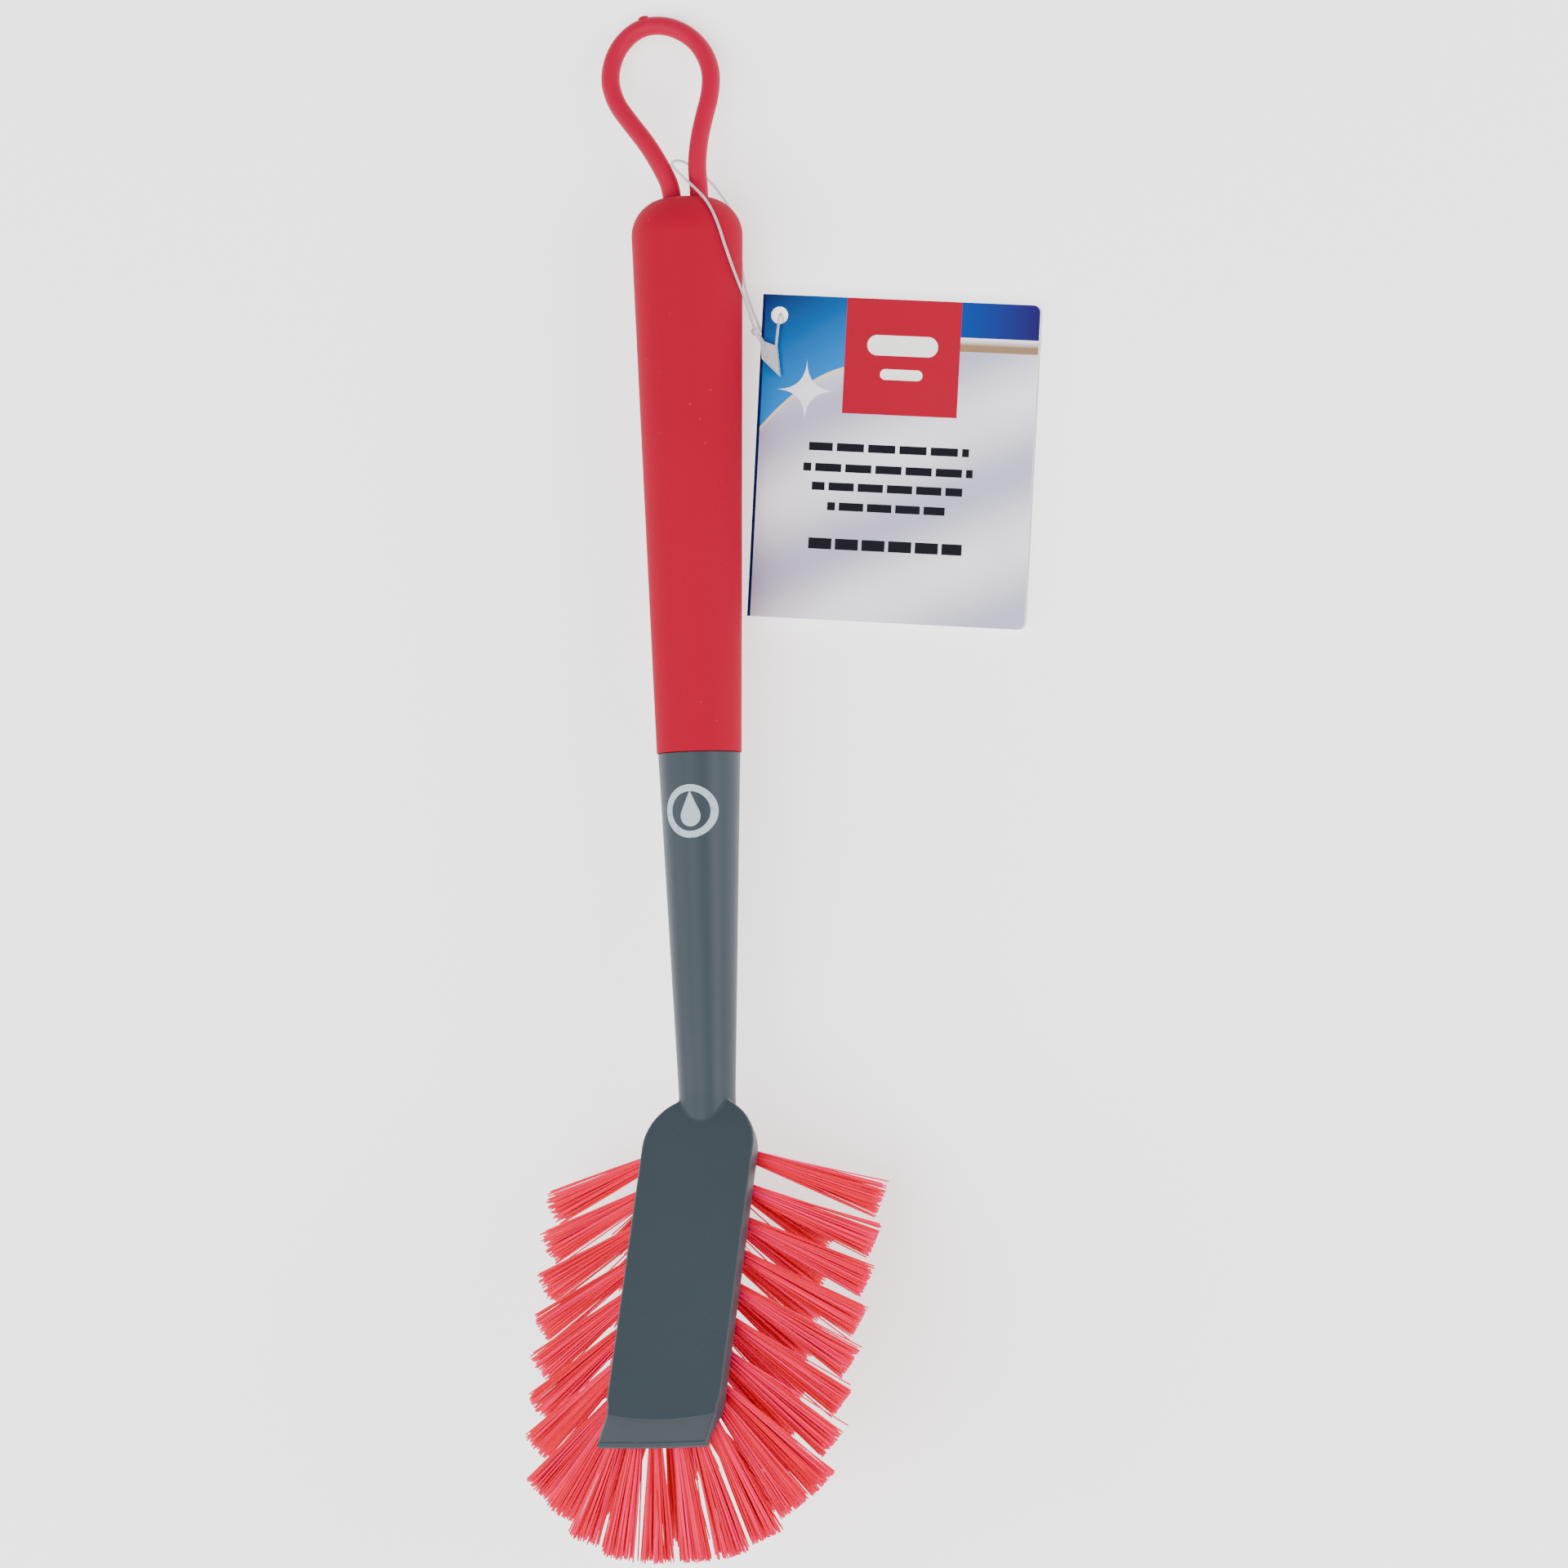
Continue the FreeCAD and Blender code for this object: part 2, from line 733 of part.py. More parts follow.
def feature(name, shape):
    item = doc.addObject("Part::Feature", name)
    item.Label = name
    item.Shape = shape
    item.Placement = Placement()
    return item


def make_loop():
    """The loop's tube, cut at the line where it flexes: two fixed legs, and the eye that swings."""
    whole = tube("hanging_loop", LOOP_ROUTE, size("loop_radius"))
    reach = whole.BoundBox.DiagonalLength
    low = Vector(-reach, size("flex_line") - size("flex_gap") - reach, -reach)
    fixed = whole.common(Part.makeBox(2 * reach, reach, 2 * reach, low))
    low = Vector(-reach, size("flex_line"), -reach)
    swinging = whole.common(Part.makeBox(2 * reach, reach, 2 * reach, low))
    return [feature("loop_legs", fixed), feature("hanging_loop", swinging)]


def make_tag():
    """A card folded in two along its left edge, its free leaf a little open, with a punched hole."""
    body = new_body("swing_tag")
    profile = sketch_on(body, "card_profile", "XZ_Plane")
    corners = [
        ("tag_width", ""),
        ("tag_width", "card_thickness"),
        ("fold_radius", "card_thickness"),
        ("card_thickness", "fold_radius"),
        ("fold_radius", "inner_top"),
        ("tag_width", "leaf_spread_bottom"),
        ("tag_width", "leaf_spread_top"),
        ("fold_radius", "folded_thickness"),
        ("", "fold_radius"),
        ("fold_radius", ""),
    ]
    arcs = {2: "-fold_inner_radius", 3: "-fold_inner_radius", 7: "fold_radius", 8: "fold_radius"}
    outline(profile, corners, arcs)
    card = body.newObject("PartDesign::Pad", "card")
    card.Profile = profile
    bind(card, Length="sizes.tag_height")
    doc.recompute()
    side = size("tag_width") - 0.01
    rims = [
        i for i, edge in enumerate(card.Shape.Edges, 1)
        if edge.BoundBox.XMin > side and edge.Length < 2 * size("card_thickness")
    ]
    corners = body.newObject("PartDesign::Fillet", "card_corners")
    corners.Base = (card, ["Edge%d" % i for i in rims])
    bind(corners, Radius="sizes.tag_corner_radius")
    punch = sketch_on(body, "tag_hole", "XY_Plane")
    circle(punch, "tag_hole_x", "-tag_hole_y", "tag_hole_radius")
    hole = body.newObject("PartDesign::Pocket", "tag_hole_cut")
    hole.Profile = punch
    hole.Midplane = True
    bind(hole, Length="4 * sizes.leaf_spread_top")
    body.Tip = hole
    turn = Rotation(Vector(0, 0, 1), TAG_YAW).multiply(Rotation(Vector(0, 1, 0), TAG_TILT))
    body.Placement = Placement(TAG_CORNER, turn)
    return body


def make_lock():
    """The tie's snap lock: a round knob, a short neck and a flat kite."""
    corners = doc.addObject("Part::Polygon", "lock_outline")
    corners.Nodes = [Vector(x, y, 0) for x, y in LOCK_OUTLINE]
    corners.Close = True
    kite = doc.addObject("Part::Extrusion", "lock_kite")
    kite.Base = corners
    kite.DirMode = "Custom"
    kite.Dir = Vector(0, 0, 1)
    kite.Solid = True
    bind(kite, LengthFwd="sizes.lock_thickness")
    knob = doc.addObject("Part::Sphere", "lock_knob")
    bind(knob, **{"Radius": "sizes.knob_radius", "Placement.Base.z": "sizes.lock_thickness / 2"})
    lock = doc.addObject("Part::Fuse", "tag_lock")
    lock.Label = "tag_lock"
    lock.Base = kite
    lock.Tool = knob
    lock.Placement = Placement(LOCK_PLACE, Rotation())
    return lock


def build():
    groups = all_groups()
    brush = make_brush_body(groups)
    grip, anchor = make_grip(), make_anchor()
    parts = [brush, grip, anchor]
    brush.Placement = rest_place()
    grip.Placement = rest_place()
    anchor.Placement = rest_place().multiply(Placement(Vector(0, size("anchor_station"), 0), Rotation()))
    for name, tufts in groups.items():
        parts.append(make_tufts(name, tufts))
        parts.append(make_staples(name, tufts))
    parts += make_loop()
    parts += [make_tag(), make_lock()]
    parts.append(feature("tag_tie", tube("tag_tie", TIE_ROUTE, size("tie_radius"))))
    return parts


def check_document():
    for item in doc.Objects:
        if "Invalid" in item.State or "Error" in item.State:
            raise RuntimeError("%s is not up to date: %s" % (item.Label, item.State))


def write(parts):
    os.makedirs("parts", exist_ok=True)
    for part in parts:
        if part.Shape.isNull() or not part.Shape.isValid():
            raise RuntimeError(part.Label + " has no valid shape")
    for part in parts:
        part.Shape.exportStep("parts/%s.step" % part.Label)
        box = part.Shape.BoundBox
        print("%-14s %2d solids %9.1f mm3  x %7.2f %7.2f  y %7.2f %7.2f  z %6.2f %6.2f" % (
            part.Label, len(part.Shape.Solids), part.Shape.Volume,
            box.XMin, box.XMax, box.YMin, box.YMax, box.ZMin, box.ZMax))


parts = build()
doc.recompute()
check_document()
write(parts)
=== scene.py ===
# Dishwashing brush with a hanging loop and a swing tag. Everything is in metres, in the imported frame.
import math

import bmesh
import bpy
from mathutils import Matrix, Vector
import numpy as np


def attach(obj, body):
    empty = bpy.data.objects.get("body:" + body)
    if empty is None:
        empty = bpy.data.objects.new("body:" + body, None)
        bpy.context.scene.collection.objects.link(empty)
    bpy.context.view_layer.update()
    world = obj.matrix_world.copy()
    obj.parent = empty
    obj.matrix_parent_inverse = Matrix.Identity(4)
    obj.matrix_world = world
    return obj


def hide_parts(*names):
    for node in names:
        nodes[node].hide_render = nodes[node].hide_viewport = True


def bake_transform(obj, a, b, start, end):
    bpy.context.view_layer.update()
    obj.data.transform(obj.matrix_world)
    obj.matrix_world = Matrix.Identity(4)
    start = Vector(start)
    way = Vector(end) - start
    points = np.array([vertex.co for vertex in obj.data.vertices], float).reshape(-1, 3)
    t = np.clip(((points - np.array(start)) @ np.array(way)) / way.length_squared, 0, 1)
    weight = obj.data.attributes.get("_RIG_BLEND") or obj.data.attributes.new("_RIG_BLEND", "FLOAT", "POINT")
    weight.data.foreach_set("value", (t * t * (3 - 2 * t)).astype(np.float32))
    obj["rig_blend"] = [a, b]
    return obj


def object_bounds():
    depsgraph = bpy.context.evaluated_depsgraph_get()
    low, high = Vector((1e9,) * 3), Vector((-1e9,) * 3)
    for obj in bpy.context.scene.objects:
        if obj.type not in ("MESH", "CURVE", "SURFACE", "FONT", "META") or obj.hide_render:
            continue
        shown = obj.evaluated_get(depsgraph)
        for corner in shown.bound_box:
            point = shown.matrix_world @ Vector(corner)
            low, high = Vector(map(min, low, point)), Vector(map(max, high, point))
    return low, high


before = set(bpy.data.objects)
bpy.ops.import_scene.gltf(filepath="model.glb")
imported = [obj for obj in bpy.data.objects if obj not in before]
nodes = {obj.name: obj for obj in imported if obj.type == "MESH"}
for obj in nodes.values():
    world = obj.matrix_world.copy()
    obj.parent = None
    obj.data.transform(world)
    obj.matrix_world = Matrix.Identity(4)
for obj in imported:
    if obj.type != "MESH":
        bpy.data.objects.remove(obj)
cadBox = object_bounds()
scene = bpy.context.scene
print("frame loaded")


class Wire:  # one output socket, so that masks and offsets are written as sums
    def __init__(self, graph, socket):
        self.graph = graph
        self.socket = socket

    def __add__(self, other):
        return self.graph.math("ADD", self, other)

    def __sub__(self, other):
        return self.graph.math("SUBTRACT", self, other)

    def __rsub__(self, other):
        return self.graph.math("SUBTRACT", other, self)

    def __mul__(self, other):
        return self.graph.math("MULTIPLY", self, other)

    def __truediv__(self, other):
        return self.graph.math("DIVIDE", self, other)

    def __pow__(self, other):
        return self.graph.math("POWER", self, other)

    def __lt__(self, other):
        return self.graph.math("LESS_THAN", self, other)

    def __gt__(self, other):
        return self.graph.math("GREATER_THAN", self, other)

    def __or__(self, other):
        return self.graph.math("MAXIMUM", self, other)

    def __abs__(self):
        return self.graph.math("ABSOLUTE", self, 0.0)

    __radd__ = __add__
    __rmul__ = __mul__


class Graph:
    def __init__(self, tree):
        self.tree = tree

    def add(self, kind, settings=None, sockets=None, out=0):
        node = self.tree.nodes.new(kind)
        for name, value in (settings or {}).items():
            setattr(node, name, value)
        for key, value in (sockets or {}).items():
            self.plug(node.inputs[key], value)
        return Wire(self, node.outputs[out])

    def plug(self, socket, value):
        if isinstance(value, Wire):
            self.tree.links.new(value.socket, socket)
        else:
            socket.default_value = value

    def math(self, operation, first, second):
        return self.add("ShaderNodeMath", {"operation": operation}, {0: first, 1: second})

    def vector(self, operation, first, second):
        return self.add("ShaderNodeVectorMath", {"operation": operation}, {0: first, 1: second})

    def scaled(self, way, amount):
        return self.add("ShaderNodeVectorMath", {"operation": "SCALE"}, {0: way, "Scale": amount})

    def split(self, vector):
        node = self.tree.nodes.new("ShaderNodeSeparateXYZ")
        self.plug(node.inputs[0], vector)
        return [Wire(self, socket) for socket in node.outputs]


def ink(red, green, blue):  # a screen colour as linear light
    shares = [value / 255 for value in (red, green, blue)]
    return tuple(s / 12.92 if s < 0.04 else ((s + 0.055) / 1.055) ** 2.4 for s in shares) + (1.0,)


class Paint(Graph):  # a material with its object coordinates at hand
    def __init__(self, name, **fixed):
        self.material = bpy.data.materials.new(name)
        self.material.use_nodes = True
        Graph.__init__(self, self.material.node_tree)
        self.surface = self.tree.nodes["Principled BSDF"]
        self.place = self.add("ShaderNodeTexCoord", out="Object")
        for key, value in fixed.items():
            self.surface.inputs[key.replace("_", " ")].default_value = value

    def noise(self, scale, detail=2.0, place=None):
        sockets = {"Vector": place or self.place, "Scale": scale, "Detail": detail}
        return self.add("ShaderNodeTexNoise", None, sockets)

    def specks(self, scale, reach):  # small dots, a few to a cell
        sockets = {"Vector": self.place, "Scale": scale}
        return self.add("ShaderNodeTexVoronoi", None, sockets) < reach

    def mix(self, share, first, second):
        settings = {"data_type": "RGBA"}
        return self.add("ShaderNodeMix", settings, {0: share, 6: first, 7: second}, out=2)

    def bump(self, height, depth, strength=1.0):
        sockets = {"Height": height, "Distance": depth, "Strength": strength}
        self.plug(self.surface.inputs["Normal"], self.add("ShaderNodeBump", None, sockets))

    def finish(self, color, roughness=None):
        self.plug(self.surface.inputs["Base Color"], color)
        if roughness is not None:
            self.plug(self.surface.inputs["Roughness"], roughness)
        return self.material


plasticFinish = {
    "slate": ink(41, 51, 58),
    "slateLight": ink(47, 57, 64),
    "dust": ink(88, 96, 102),
    "print": ink(172, 190, 202),
    "printCentre": (0.0, 0.0136),
    "printRadius": 0.0055,
    "printLine": 0.0007,
    "printFloor": 0.0190,  # only the upper side of the shank is printed
    "dropRadius": 0.0021,
    "dropHeight": 0.0042,
    "dropSlope": 0.45,
    "printWorn": 0.55,
    "printFresh": 0.35,
    "rubScale": 900.0,
    "rubReach": 0.34,
    "flowScale": 28.0,
    "dustScale": 420.0,
    "dustReach": 0.045,
    "dustShare": 0.35,
    "grainScale": 1500.0,
    "grainDepth": 0.00002,
    "scuffScale": 70.0,
    "roughness": 0.36,
}


def makeGreyPlastic():
    p = Paint("slatePlastic", IOR=1.49, Specular_IOR_Level=0.25)
    look = plasticFinish
    x, y, z = p.split(p.place)
    flow = p.noise(look["flowScale"], 3.0)
    color = p.mix(flow, look["slate"], look["slateLight"])
    dust = p.specks(look["dustScale"], look["dustReach"])
    color = p.mix(dust * look["dustShare"], color, look["dust"])
    across = x - look["printCentre"][0]
    along = y - look["printCentre"][1]
    far = (across * across + along * along) ** 0.5
    ring = abs(far - look["printRadius"] + look["printLine"]) < look["printLine"]
    low = along + look["dropRadius"] * 0.5
    bulb = (across * across + low * low) ** 0.5 < look["dropRadius"]
    neck = abs(across) < (look["dropHeight"] - along) * look["dropSlope"]
    neck = neck * (along > 0.0 - look["dropRadius"] * 0.2) * (along < look["dropHeight"])
    mark = (ring | bulb | neck) * (z > look["printFloor"])
    rub = p.noise(look["rubScale"], 3.0) > look["rubReach"]
    mark = mark * (look["printWorn"] + rub * look["printFresh"])
    color = p.mix(mark, color, look["print"])
    grain = p.noise(look["grainScale"])
    scuff = p.noise(look["scuffScale"], 4.0)
    p.bump(grain, look["grainDepth"], 0.55)
    return p.finish(color, look["roughness"] + scuff * 0.12 + grain * 0.04)


gripFinish = {
    "red": ink(163, 0, 41),
    "redDeep": ink(153, 0, 36),
    "dust": ink(196, 84, 92),
    "cloudScale": 22.0,
    "dustScale": 330.0,
    "dustReach": 0.05,
    "dustShare": 0.4,
    "grainScale": 2600.0,
    "grainDepth": 0.00003,
    "roughness": 0.56,
}


def makeSoftGrip():
    p = Paint("softTouchRed", IOR=1.5, Specular_IOR_Level=0.045, Sheen_Weight=0.005, Sheen_Roughness=0.45)
    look = gripFinish
    cloud = p.noise(look["cloudScale"], 4.0)
    color = p.mix(cloud, look["redDeep"], look["red"])
    dust = p.specks(look["dustScale"], look["dustReach"])
    color = p.mix(dust * look["dustShare"], color, look["dust"])
    grain = p.noise(look["grainScale"], 3.0)
    p.bump(grain, look["grainDepth"], 0.6)
    return p.finish(color, look["roughness"] + cloud * 0.1 + grain * 0.06)


loopFinish = {
    "red": ink(174, 1, 52),
    "redDeep": ink(164, 1, 45),
    "dust": ink(205, 90, 100),
    "cloudScale": 60.0,
    "dustScale": 500.0,
    "dustReach": 0.05,
    "dustShare": 0.35,
    "grainScale": 1800.0,
    "grainDepth": 0.00002,
    "roughness": 0.40,
}


def makeLoopRubber():
    p = Paint("loopRubber", IOR=1.5, Specular_IOR_Level=0.1)
    look = loopFinish
    cloud = p.noise(look["cloudScale"], 3.0)
    color = p.mix(cloud, look["redDeep"], look["red"])
    dust = p.specks(look["dustScale"], look["dustReach"])
    color = p.mix(dust * look["dustShare"], color, look["dust"])
    grain = p.noise(look["grainScale"])
    p.bump(grain, look["grainDepth"], 0.5)
    return p.finish(color, look["roughness"] + cloud * 0.12)


bristleFinish = {
    "shadow": ink(226, 0, 46),
    "red": ink(252, 0, 74),
    "light": ink(255, 0, 104),
    "litFrom": 0.72,  # the share of filaments that get no painted light
    "litShare": 0.75,
    "cutFrom": 0.985,  # where along a filament its cut end begins
    "cutHighlightShare": 0.5,
    "rippleScale": 1400.0,
    "rippleDepth": 0.00002,
    "roughness": 0.30,
}


def makeBristle():
    p = Paint("bristleNylon", IOR=1.53, Specular_IOR_Level=0.025)
    look = bristleFinish
    tone = p.add("ShaderNodeAttribute", {"attribute_name": "tone"}, out="Fac")
    along = p.add("ShaderNodeAttribute", {"attribute_name": "along"}, out="Fac")
    # painted shade and light: each filament gets at random a shaded, plain or lit copy of the same red
    color = p.mix(tone, look["shadow"], look["red"])
    litFilaments = (tone > look["litFrom"]) * look["litShare"]
    color = p.mix(litFilaments, color, look["light"])
    # painted highlight: the cut end of each filament is mixed toward the lit copy of the red
    cutHighlight = (along > look["cutFrom"]) * look["cutHighlightShare"]
    color = p.mix(cutHighlight, color, look["light"])
    ripple = p.noise(look["rippleScale"])
    p.bump(ripple, look["rippleDepth"], 0.4)
    return p.finish(color, look["roughness"] + ripple * 0.14)


stapleFinish = {
    "steel": ink(168, 168, 170),
    "steelLight": ink(206, 206, 206),
    "drawnScale": 900.0,
    "drawnDepth": 0.00001,
    "roughness": 0.24,
}


def makeStapleWire():
    p = Paint("stapleWire", Metallic=1.0, IOR=1.6)
    look = stapleFinish
    drawn = p.noise(look["drawnScale"], 3.0)
    color = p.mix(drawn, look["steel"], look["steelLight"])
    p.bump(drawn, look["drawnDepth"], 0.6)
    return p.finish(color, look["roughness"] + drawn * 0.2)


clearFinish = {
    "milk": ink(214, 216, 222),
    "milkLight": ink(240, 240, 244),
    "hazeScale": 700.0,
    "hazeDepth": 0.00001,
    "roughness": 0.22,
}


def makeClearPlastic():
    p = Paint("clearPlastic", IOR=1.49, Transmission_Weight=0.55, Specular_IOR_Level=0.5)
    look = clearFinish
    haze = p.noise(look["hazeScale"], 3.0)
    color = p.mix(haze, look["milk"], look["milkLight"])
    p.bump(haze, look["hazeDepth"], 0.5)
    return p.finish(color, look["roughness"] + haze * 0.14)


cardFinish = {  # millimetres from the card's top left corner, to the right and down
    "corner": (0.0138, 0.1204, 0.0032),
    "yaw": -5.3,
    "tilt": 3.0,
    "badge": (18.1, 42.5, 24.0),
    "labels": [(9.6, 15.0, 4.2), (15.6, 9.0, 2.2)],  # middle, width and height
    "bandFoot": 7.3,
    "stripFoot": 10.2,
    "sweepStart": 29.0,
    "sweepSlope": 1.27,
    "sweepBend": 0.027,
    "sweepRim": 0.45,
    "foldShadeWidth": 0.75,
    "sparkle": (10.2, 19.6, 6.6),
    "bars": [(31.1, 34.0, 1.7), (35.4, 36.0, 1.7), (39.3, 32.0, 1.7), (43.4, 25.0, 1.7), (51.2, 33.0, 2.3)],
    "barCentre": 28.5,
    "sheenSlope": 0.45,
    "sheenCentre": 45.0,
    "sheenPitch": 0.209,
    "blueReach": 26.0,
    "bandReach": 16.0,
    "stripReach": 1.6,
    "blockGap": 0.13,  # the share of a bar's pitch that is left blank
    "silver": ink(156, 152, 184),
    "silverLight": ink(246, 245, 255),
    "navy": ink(6, 20, 84),
    "cyan": ink(0, 120, 200),
    "red": ink(158, 0, 38),
    "purple": ink(30, 16, 88),
    "blue": ink(2, 56, 136),
    "tan": ink(140, 112, 84),
    "gold": ink(222, 208, 172),
    "bar": ink(12, 12, 22),
    "paper": ink(250, 249, 246),
    "paperDeep": ink(228, 227, 222),
    "cloudScale": 0.06,
    "cloudShare": 0.3,
    "sparkleShare": 0.9,
    "leafFoot": 0.6,  # print starts this far above the corner's plane
    "spineWidth": 0.5,
    "fibreScale": 2.2,
    "fibreDepth": 0.00002,
    "coat": 0.04,
    "roughness": 0.5,
}


def makePrintedCard():
    p = Paint("printedCard", IOR=1.5, Specular_IOR_Level=0.04, Coat_Roughness=0.12, Coat_IOR=1.45)
    look = cardFinish
    turn = (0.0, math.radians(look["tilt"]), math.radians(look["yaw"]))
    sockets = {"Vector": p.place, "Location": look["corner"], "Rotation": turn, "Scale": (0.001,) * 3}
    local = p.add("ShaderNodeMapping", {"vector_type": "TEXTURE"}, sockets)
    x, up, depth = p.split(local)
    y = up * -1.0
    # painted sheen: diagonal bands of lighter silver stand in for the light reflected by the foil
    fromSheen = y + x * look["sheenSlope"] - look["sheenCentre"]
    paintedSheen = p.math("COSINE", fromSheen * look["sheenPitch"], 0.0)
    color = p.mix(paintedSheen * 0.4 + 0.6, look["silver"], look["silverLight"])
    cloud = p.noise(look["cloudScale"], 1.0, local)
    color = p.mix(cloud * look["cloudShare"], color, look["silver"])
    left, right, foot = look["badge"]
    # the blue corner with its light rim and a sparkle
    sweep = look["sweepStart"] - x * look["sweepSlope"] + x * x * look["sweepBend"]
    inSweep = (y < sweep) * (x < left)
    blue = p.mix((y + x * 0.5) / look["blueReach"], look["navy"], look["cyan"])
    color = p.mix(inSweep, color, blue)
    rim = (abs(y - sweep) < look["sweepRim"]) * (x < left)
    color = p.mix(rim, color, look["gold"])
    sparkX, sparkY, sparkReach = look["sparkle"]
    dx, dy = abs(x - sparkX), abs(y - sparkY)
    spark = (dx ** 0.5 + dy ** 0.5) < sparkReach ** 0.5
    color = p.mix(spark * look["sparkleShare"], color, look["silverLight"])
    # the band and the strip to the right of the badge
    band = (y < look["bandFoot"]) * (x > right)
    color = p.mix(band, color, p.mix((x - right) / look["bandReach"], look["blue"], look["purple"]))
    strip = (y > look["bandFoot"]) * (y < look["stripFoot"]) * (x > right)
    stripColor = p.mix((y - look["bandFoot"]) / look["stripReach"], look["silverLight"], look["tan"])
    color = p.mix(strip, color, stripColor)
    # the red badge with two blank labels in it
    badge = (x > left) * (x < right) * (y < foot)
    color = p.mix(badge, color, look["red"])
    fromMiddle = abs(x - (left + right) / 2)
    for high, width, height in look["labels"]:
        reach = p.math("MAXIMUM", fromMiddle - (width - height) / 2, 0.0)
        rise = y - high
        label = (reach * reach + rise * rise) ** 0.5 < height / 2
        color = p.mix(label, color, look["paper"])
    # plain bars where lines of words would be
    for middle, width, height in look["bars"]:
        fromCentre = abs(x - look["barCentre"])
        bar = (abs(y - middle) < height / 2) * (fromCentre < width / 2)
        blocks = p.math("FRACT", x * (0.11 + middle * 0.0013) + middle * 0.37, 0.0) > look["blockGap"]
        color = p.mix(bar * blocks, color, look["bar"])
    # painted shade: a thin navy strip along the folded left edge, where the rounded fold turns from the
    # light
    foldShade = x < look["foldShadeWidth"]
    color = p.mix(foldShade, color, look["navy"])
    # bare paper on the cut edges and inside
    normal = p.add("ShaderNodeNewGeometry", out="True Normal")
    tiltAxis = (math.sin(turn[1]), 0.0, math.cos(turn[1]))
    sockets = {0: normal, 1: tiltAxis}
    facing = p.add("ShaderNodeVectorMath", {"operation": "DOT_PRODUCT"}, sockets, out="Value")
    front = (facing > 0.5) * (depth > look["leafFoot"])
    spine = (x < look["spineWidth"]) * (abs(facing) < 0.97)
    printed = front | spine
    fibre = p.noise(look["fibreScale"], 4.0, local)
    paper = p.mix(fibre, look["paperDeep"], look["paper"])
    color = p.mix(printed, paper, color)
    p.plug(p.surface.inputs["Coat Weight"], printed * look["coat"])
    p.bump(fibre, look["fibreDepth"], 0.35)
    return p.finish(color, look["roughness"] - printed * 0.14 + fibre * 0.06)


greyPlastic = makeGreyPlastic()
softGrip = makeSoftGrip()
loopRubber = makeLoopRubber()
bristleNylon = makeBristle()
stapleWire = makeStapleWire()
clearPlastic = makeClearPlastic()
printedCard = makePrintedCard()
print("materials made")


viewValues = {
    "aim": Vector((0.0132, 0.0184, 0.0)),
    "distance": 1.7,
    "lean": 15.0,  # from straight above, towards +X
    "roll": 2.2,
    "width": 0.3268,  # what the camera takes in at the aim
}


def makeCamera():
    data = bpy.data.cameras.new("camera")
    camera = bpy.data.objects.new("camera", data)
    scene.collection.objects.link(camera)
    lean, roll = math.radians(viewValues["lean"]), math.radians(viewValues["roll"])
    back = Vector((math.sin(lean), 0, math.cos(lean)))
    side = Vector((math.cos(lean), 0, -math.sin(lean)))
    up = Vector((0, 1, 0))
    right = side * math.cos(roll) - up * math.sin(roll)
    top = up * math.cos(roll) + side * math.sin(roll)
    turn = Matrix((right, top, back)).transposed().to_4x4()
    camera.matrix_world = Matrix.Translation(viewValues["aim"] + back * viewValues["distance"]) @ turn
    data.sensor_width = 36.0
    data.lens = data.sensor_width * viewValues["distance"] / viewValues["width"]
    data.clip_start = 0.05
    scene.camera = camera


lightValues = {  # place, size and power of each soft box
    "overhead": ((-0.25, -0.4, 1.45), 1.2, 21.0),
    "leftBox": ((-1.1, -0.3, 0.75), 0.9, 11.0),
    "rightBox": ((1.15, -0.1, 0.7), 0.8, 13.0),
}
studioValues = {
    "lightAim": Vector((0, 0, 0.03)),
    "worldColor": (1.0, 1.0, 1.0, 1.0),
    "worldStrength": 0.85,
    "floorReach": 2.5,
    "floorClearance": 0.0002,
    "floorGlow": 0.9,
    "floorGrain": 9.0,
    "floorRoughness": 0.9,
}


def makeLights():
    for name, (place, size, power) in lightValues.items():
        data = bpy.data.lights.new(name, "AREA")
        data.size = size
        data.energy = power
        light = bpy.data.objects.new(name, data)
        light.location = place
        way = studioValues["lightAim"] - Vector(place)
        light.rotation_euler = way.to_track_quat("-Z", "Y").to_euler()
        scene.collection.objects.link(light)
    world = bpy.data.worlds.new("studio")
    world.use_nodes = True
    background = world.node_tree.nodes["Background"]
    background.inputs["Color"].default_value = studioValues["worldColor"]
    background.inputs["Strength"].default_value = studioValues["worldStrength"]
    scene.world = world


def makeFloor():
    data = bpy.data.meshes.new("floor")
    reach = studioValues["floorReach"]
    low = cadBox[0][2] - studioValues["floorClearance"]
    corners = [(-reach, -reach, low), (reach, -reach, low), (reach, reach, low), (-reach, reach, low)]
    data.from_pydata(corners, [], [(0, 1, 2, 3)])
    floor = bpy.data.objects.new("floor", data)
    scene.collection.objects.link(floor)
    glow = studioValues["floorGlow"]
    p = Paint("paleFloor", Specular_IOR_Level=0.1, Emission_Color=ink(255, 255, 255), Emission_Strength=glow)
    grain = p.noise(studioValues["floorGrain"])
    color = p.mix(grain, ink(250, 250, 250), ink(253, 253, 253))
    data.materials.append(p.finish(color, studioValues["floorRoughness"]))


makeCamera()
makeLights()
makeFloor()
print("camera, light and floor made")


